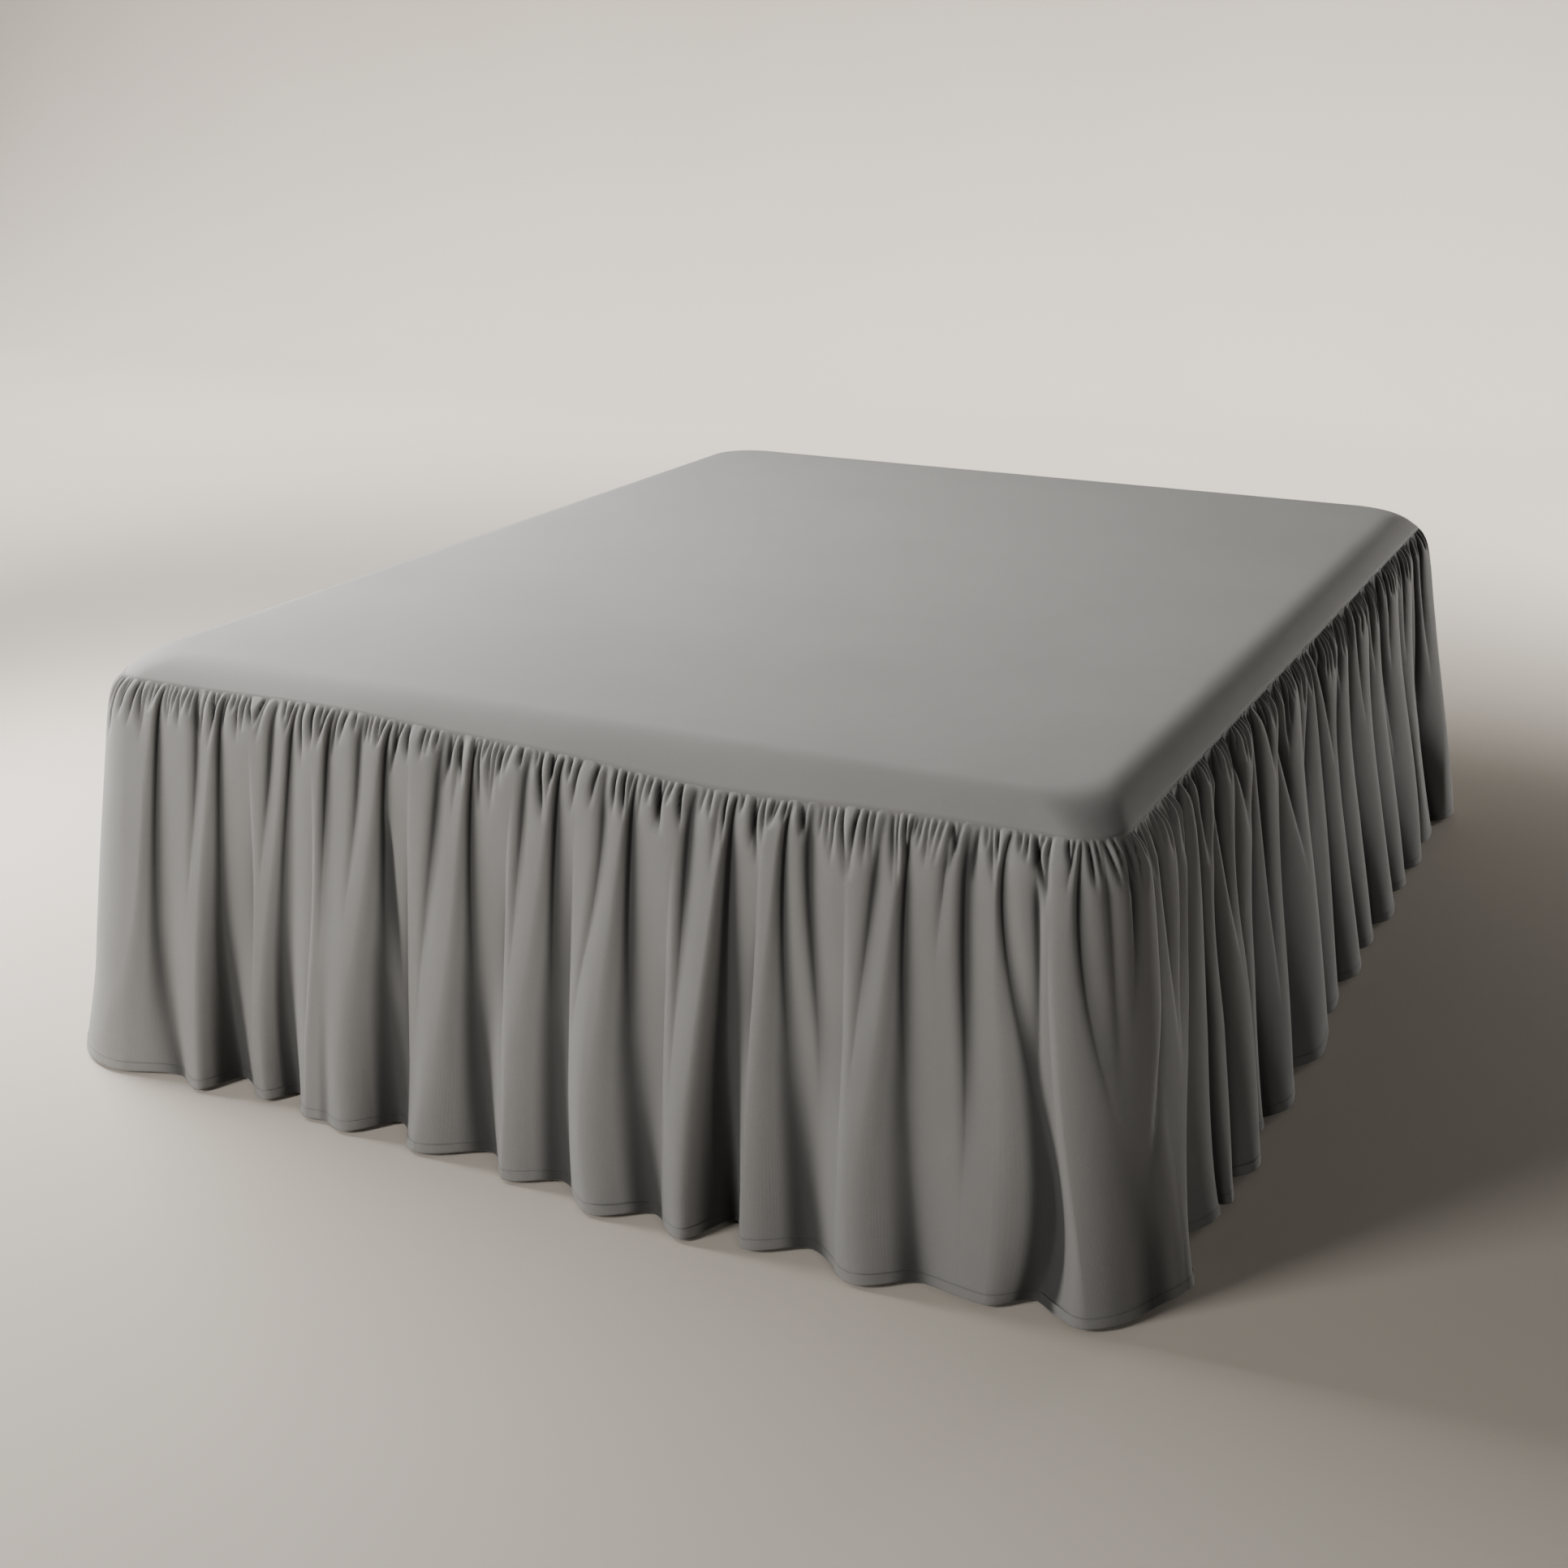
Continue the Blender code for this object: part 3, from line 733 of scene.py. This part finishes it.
def deck_ring(inset):
    """A ring of places, a rounded rectangle this far inside the seam line."""
    share = np.clip(1 - inset / SHOULDER_RUN, 0, 1)
    radius = mix(TOP_RADIUS, SEAM_RADIUS, share)
    across, along = WIDTH / 2 - inset - radius, LENGTH / 2 - inset - radius
    turn = np.linspace(0, math.pi / 2, CORNER_POINTS)
    straight = np.linspace(0, 1, EDGE_POINTS + 2)[1:-1]
    ring = []
    for corner, (x_side, y_side) in enumerate(((1, 1), (-1, 1), (-1, -1), (1, -1))):
        angle = turn + corner * math.pi / 2
        middle = np.array((x_side * across, y_side * along))
        ring.append(middle + radius * np.column_stack((np.cos(angle), np.sin(angle))))
        if x_side == y_side:
            xs = mix(x_side * across, -x_side * across, straight)
            ring.append(np.column_stack((xs, np.full_like(xs, y_side * (along + radius)))))
        else:
            ys = mix(y_side * along, -y_side * along, straight)
            ring.append(np.column_stack((np.full_like(ys, x_side * (across + radius)), ys)))
    return np.concatenate(ring)


def deck_panel():
    """The deck: a flat top, and a shoulder that falls away to the seam line."""
    insets = np.concatenate((DECK_INSETS, SHOULDER_RUN * (1 - np.linspace(0, 1, SHOULDER_RINGS))))
    rings = []
    for inset in insets:
        ring = deck_ring(inset)
        rings.append(np.column_stack((ring, deck_height(inset, ring[:, 0], ring[:, 1]))))
    points = np.array(rings)
    rows, columns = points.shape[:2]
    index = np.arange(rows * columns).reshape(rows, columns)
    after = np.roll(index, -1, axis=1)
    quads = np.stack((index[1:], after[1:], after[:-1], index[:-1]), axis=-1).reshape(-1, 4)
    mesh = bpy.data.meshes.new("deck_panel")
    mesh.from_pydata(points.reshape(-1, 3), [], [*quads.tolist(), index[0].tolist()])
    mesh.shade_smooth()
    corners = np.array([loop.vertex_index for loop in mesh.loops])
    mesh.uv_layers.new(name="cloth").data.foreach_set("uv", points.reshape(-1, 3)[corners, :2].reshape(-1))
    item = bpy.data.objects.new("deck_panel", mesh)
    bpy.context.scene.collection.objects.link(item)
    shell = item.modifiers.new("Cloth thickness", "SOLIDIFY")
    shell.thickness = CLOTH
    shell.offset = -1.0
    return item


class Nodes:
    """Short calls for building a material's node tree."""

    def __init__(self, name, **values):
        self.material = bpy.data.materials.new(name)
        self.material.use_nodes = True
        self.tree = self.material.node_tree
        self.shader = self.tree.nodes["Principled BSDF"]
        for socket, value in values.items():
            self.shader.inputs[socket.replace("_", " ")].default_value = value

    def add(self, kind, *links, **inputs):
        """A node with these input values, whose first inputs come from these outputs."""
        node = self.tree.nodes.new(kind)
        for name, value in inputs.items():
            node.inputs[name.replace("_", " ")].default_value = value
        for index, output in enumerate(links):
            self.tree.links.new(output, node.inputs[index])
        return node

    def math(self, operation, *values):
        node = self.tree.nodes.new("ShaderNodeMath")
        node.operation = operation
        for index, value in enumerate(values):
            if isinstance(value, (int, float)):
                node.inputs[index].default_value = value
            else:
                self.tree.links.new(value, node.inputs[index])
        return node.outputs[0]

    def noise(self, place, scale, detail=3.0, roughness=0.5):
        node = self.add("ShaderNodeTexNoise", place, Scale=scale, Detail=detail, Roughness=roughness)
        return node.outputs["Fac"]

    def stretch(self, place, scale):
        return self.add("ShaderNodeMapping", place, Scale=scale).outputs["Vector"]

    def blend(self, share, first, last):
        """A colour ramp from one colour to another."""
        ramp = self.add("ShaderNodeValToRGB", share)
        ramp.color_ramp.elements[0].color = (*first, 1)
        ramp.color_ramp.elements[1].color = (*last, 1)
        return ramp.outputs["Color"]

    def place(self, kind="Object"):
        return self.add("ShaderNodeTexCoord").outputs[kind]

    def thread(self, along, pitch):
        """A rounded ridge for each thread across this coordinate, from 0 to 1."""
        wave = self.math("SINE", self.math("MULTIPLY", along, math.tau / pitch))
        return self.math("MULTIPLY_ADD", wave, 0.5, 0.5)

    def weave(self, place, pitch):
        """A plain weave: threads both ways, passing over and under each other."""
        parts = self.add("ShaderNodeSeparateXYZ", place)
        across, down = parts.outputs["X"], parts.outputs["Y"]
        over = self.math("GREATER_THAN", self.thread(self.math("ADD", across, down), 2 * pitch), 0.5)
        warp, weft = self.thread(across, pitch), self.thread(down, pitch)
        difference = self.math("SUBTRACT", warp, weft)
        return self.math("MULTIPLY_ADD", difference, over, weft)

    def scaled(self, colour, share):
        node = self.tree.nodes.new("ShaderNodeVectorMath")
        node.operation = "SCALE"
        self.tree.links.new(colour, node.inputs[0])
        self.tree.links.new(share, node.inputs["Scale"])
        return node.outputs["Vector"]

    def finish(self, colour, roughness, height, depth):
        self.tree.links.new(colour, self.shader.inputs["Base Color"])
        self.tree.links.new(roughness, self.shader.inputs["Roughness"])
        bump = self.add("ShaderNodeBump", Distance=depth, Strength=1.0)
        self.tree.links.new(height, bump.inputs["Height"])
        self.tree.links.new(bump.outputs["Normal"], self.shader.inputs["Normal"])
        return self.material


def cloth_material(name, hem_at):
    """Brushed grey microfibre. On a ruffle, a row of stitches runs along the top of its turned-up hem."""
    nodes = Nodes(name, Sheen_Weight=0.20, Sheen_Roughness=0.45, Specular_IOR_Level=0.22)
    space, cloth = nodes.place(), nodes.place("UV")
    clouds = nodes.noise(space, CLOUD_SCALE)
    slubs = nodes.noise(nodes.stretch(cloth, SLUB_SCALE), 1.0, detail=2.0)
    fuzz = nodes.noise(space, FUZZ_SCALE, detail=2.0, roughness=0.6)
    tone = nodes.math("MULTIPLY_ADD", slubs, SLUB_SHARE, nodes.math("MULTIPLY", clouds, CLOUD_SHARE))
    tone = nodes.math("MULTIPLY_ADD", nodes.math("SUBTRACT", fuzz, 0.5), FUZZ_SHARE, tone)
    colour = nodes.blend(tone, CLOTH_DARK, CLOTH_PALE)
    threads = nodes.weave(cloth, THREAD)
    height = nodes.math("MULTIPLY_ADD", threads, THREAD_HEIGHT, nodes.math("MULTIPLY", fuzz, FUZZ_HEIGHT))
    ripples = nodes.noise(nodes.stretch(space, RIPPLE_STRETCH), RIPPLE_SCALE)
    height = nodes.math("MULTIPLY_ADD", ripples, RIPPLE_HEIGHT, height)
    if hem_at:
        parts = nodes.add("ShaderNodeSeparateXYZ", cloth)
        above = nodes.math("ADD", parts.outputs["Y"], hem_at)
        line = nodes.math("COMPARE", above, 0.0, STITCH_WIDTH)
        dashes = nodes.math("GREATER_THAN", nodes.thread(parts.outputs["X"], STITCH), STITCH_GAP)
        stitches = nodes.math("MULTIPLY", line, dashes)
        dent = nodes.math("COMPARE", above, 0.0, DENT_WIDTH)
        height = nodes.math("MULTIPLY_ADD", dent, DENT_HEIGHT, height)
        height = nodes.math("MULTIPLY_ADD", stitches, STITCH_HEIGHT, height)
        # painted shade: the colour is darkened in the dent under the stitches and by the mesh's hollow
        # attribute
        hollow = nodes.tree.nodes.new("ShaderNodeAttribute")
        hollow.attribute_name = "hollow"
        for place, shade in ((dent, PAINTED_DENT_SHADE), (hollow.outputs["Fac"], PAINTED_HOLLOW_SHADE)):
            colour = nodes.scaled(colour, nodes.math("MULTIPLY_ADD", place, -shade, 1.0))
    roughness = nodes.math("MULTIPLY_ADD", fuzz, *CLOTH_ROUGHNESS)
    return nodes.finish(colour, roughness, height, CLOTH_RELIEF)


def ticking_material():
    """The base's cover: a pale twill, with thin grey stripes."""
    nodes = Nodes("Base ticking", Specular_IOR_Level=0.25, Sheen_Weight=0.1)
    space = nodes.place()
    parts = nodes.add("ShaderNodeSeparateXYZ", space)
    stripes = nodes.math("GREATER_THAN", nodes.thread(parts.outputs["X"], STRIPE_PITCH), STRIPE_GAP)
    clouds = nodes.noise(space, TICKING_CLOUDS, detail=4.0)
    base = nodes.math("MULTIPLY_ADD", clouds, *TICKING_TONE)
    tone = nodes.math("MULTIPLY_ADD", stripes, STRIPE_SHADE, base)
    colour = nodes.blend(tone, TICKING_DARK, TICKING_PALE)
    height = nodes.math("MULTIPLY_ADD", clouds, TICKING_CLOUD_HEIGHT, nodes.weave(space, TICKING_THREAD))
    roughness = nodes.math("MULTIPLY_ADD", clouds, *TICKING_ROUGHNESS)
    return nodes.finish(colour, roughness, height, TICKING_RELIEF)


def wood_material():
    """Oiled beech, with its grain along the legs."""
    nodes = Nodes("Beech legs", Specular_IOR_Level=0.4, Coat_Weight=0.15, Coat_Roughness=0.35)
    space = nodes.place()
    bend = nodes.noise(nodes.stretch(space, WOOD_BEND), 1.0, detail=2.0)
    parts = nodes.add("ShaderNodeSeparateXYZ", space)
    across = nodes.math("MULTIPLY", parts.outputs["X"], WOOD_RINGS)
    rings = nodes.math("SINE", nodes.math("MULTIPLY_ADD", bend, WOOD_RING_BEND, across))
    fleck = nodes.noise(nodes.stretch(space, WOOD_FLECK), 1.0)
    base = nodes.math("MULTIPLY_ADD", fleck, *WOOD_TONE)
    tone = nodes.math("MULTIPLY_ADD", rings, WOOD_RING_SHARE, base)
    colour = nodes.blend(tone, WOOD_DARK, WOOD_PALE)
    roughness = nodes.math("MULTIPLY_ADD", fleck, *WOOD_ROUGHNESS)
    return nodes.finish(colour, roughness, tone, WOOD_RELIEF)


def backdrop():
    """The stage: a pale floor that sweeps up into a wall, far behind the bed."""
    turn = np.linspace(-math.pi / 2, 0, SWEEP_POINTS)
    ys = np.concatenate(([-STAGE_REACH], SWEEP_AT + SWEEP_RADIUS * np.cos(turn), [SWEEP_AT + SWEEP_RADIUS]))
    zs = np.concatenate(([0.0], SWEEP_RADIUS + SWEEP_RADIUS * np.sin(turn), [STAGE_HEIGHT]))
    points = np.array([[(x, y, z) for x in (-STAGE_REACH, STAGE_REACH)] for y, z in zip(ys, zs)])
    sweep = sheet_mesh("backdrop", points, ys + zs)
    nodes = Nodes("Pale floor", Specular_IOR_Level=0.3)
    space = nodes.place()
    clouds = nodes.noise(space, FLOOR_CLOUDS, detail=2.0)
    grain = nodes.noise(space, FLOOR_GRAIN, detail=2.0)
    colour = nodes.blend(clouds, FLOOR_DARK, FLOOR_PALE)
    roughness = nodes.math("MULTIPLY_ADD", grain, *FLOOR_ROUGHNESS)
    sweep.data.materials.append(nodes.finish(colour, roughness, grain, FLOOR_RELIEF))


def area_light(lamp):
    data = bpy.data.lights.new(lamp.name, "AREA")
    data.shape = "RECTANGLE"
    data.size, data.size_y = lamp.size
    data.energy = lamp.power
    data.color = DAYLIGHT
    data.spread = math.radians(lamp.spread)
    item = bpy.data.objects.new(lamp.name, data)
    item.location = lamp.place
    item.visible_camera = False
    direction = np.array(lamp.target) - np.array(lamp.place)
    item.rotation_euler = Vector(direction).to_track_quat("-Z", "Y").to_euler()
    bpy.context.scene.collection.objects.link(item)


def studio_sky():
    """A dim room, with a soft glow from behind the bed and from the ceiling."""
    world = bpy.data.worlds.new("Studio")
    bpy.context.scene.world = world
    world.use_nodes = True
    tree = world.node_tree
    place = tree.nodes.new("ShaderNodeTexCoord")
    parts = tree.nodes.new("ShaderNodeSeparateXYZ")
    tree.links.new(place.outputs["Generated"], parts.inputs["Vector"])
    total = tree.nodes.new("ShaderNodeMath")
    for index, (axis, start, end, dim, bright) in enumerate(SKY_GLOWS):
        glow = tree.nodes.new("ShaderNodeMapRange")
        glow.interpolation_type = "SMOOTHSTEP"
        for name, value in (("From Min", start), ("From Max", end), ("To Min", dim), ("To Max", bright)):
            glow.inputs[name].default_value = value
        tree.links.new(parts.outputs[axis], glow.inputs["Value"])
        tree.links.new(glow.outputs["Result"], total.inputs[index])
    background = tree.nodes["Background"]
    background.inputs["Color"].default_value = (*DAYLIGHT, 1)
    tree.links.new(total.outputs["Value"], background.inputs["Strength"])


def camera():
    data = bpy.data.cameras.new("Camera")
    data.lens = CAMERA_LENS
    data.sensor_width = CAMERA_SENSOR
    data.shift_y = CAMERA_SHIFT
    item = bpy.data.objects.new("Camera", data)
    item.location = CAMERA_PLACE
    item.rotation_euler = (math.radians(90 - CAMERA_DOWN), 0, math.radians(CAMERA_LEFT))
    bpy.context.scene.collection.objects.link(item)
    bpy.context.scene.camera = item


def main():
    cut = SEAM_HEIGHT - HEM_HEIGHT
    foot_face = (WIDTH, foot_seam, place_on_foot, (0, -1))
    left_face = (LENGTH, side_seam, place_on_left, (0,))
    right_face = (LENGTH, side_seam, place_on_right, (0,))
    deck = deck_panel()
    foot = ruffle("foot_ruffle", FOOT_FOLDS, FOOT_CREASES, FOOT_GATHERS, FOOT_STANCE, *foot_face, seed=11)
    left = ruffle("left_ruffle", LEFT_FOLDS, LEFT_CREASES, (), SIDE_STANCE, *left_face, seed=23)
    right = ruffle("right_ruffle", RIGHT_FOLDS, RIGHT_CREASES, (), SIDE_STANCE, *right_face, seed=37)
    deck_flat = (WIDTH + SEAM_ALLOWANCE, LENGTH + SEAM_ALLOWANCE)
    ruffle_flat = (RUFFLE_FLAT, cut + SEAM_ALLOWANCE)
    sheets = (
        (deck, "deck", "stretched", deck_flat),
        (foot, "ruffle_foot", "gathered", ruffle_flat),
        (left, "ruffle_left", "gathered", ruffle_flat),
        (right, "ruffle_right", "gathered", ruffle_flat),
    )
    deck_cloth = cloth_material("Grey microfibre, deck", 0)
    ruffle_cloth = cloth_material("Grey microfibre, ruffle", cut - HEM_TURN)
    for item, node, held, flat in sheets:
        item.data.materials.append(deck_cloth if node == "deck" else ruffle_cloth)
        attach(item, "root")
        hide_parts(node)
    ticking, wood = ticking_material(), wood_material()
    for name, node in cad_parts.items():
        if name == "slab" or name.startswith("leg_"):
            for socket in node.material_slots:
                socket.material = ticking if name == "slab" else wood
    backdrop()
    studio_sky()
    for lamp in LAMPS:
        area_light(lamp)
    camera()


main()
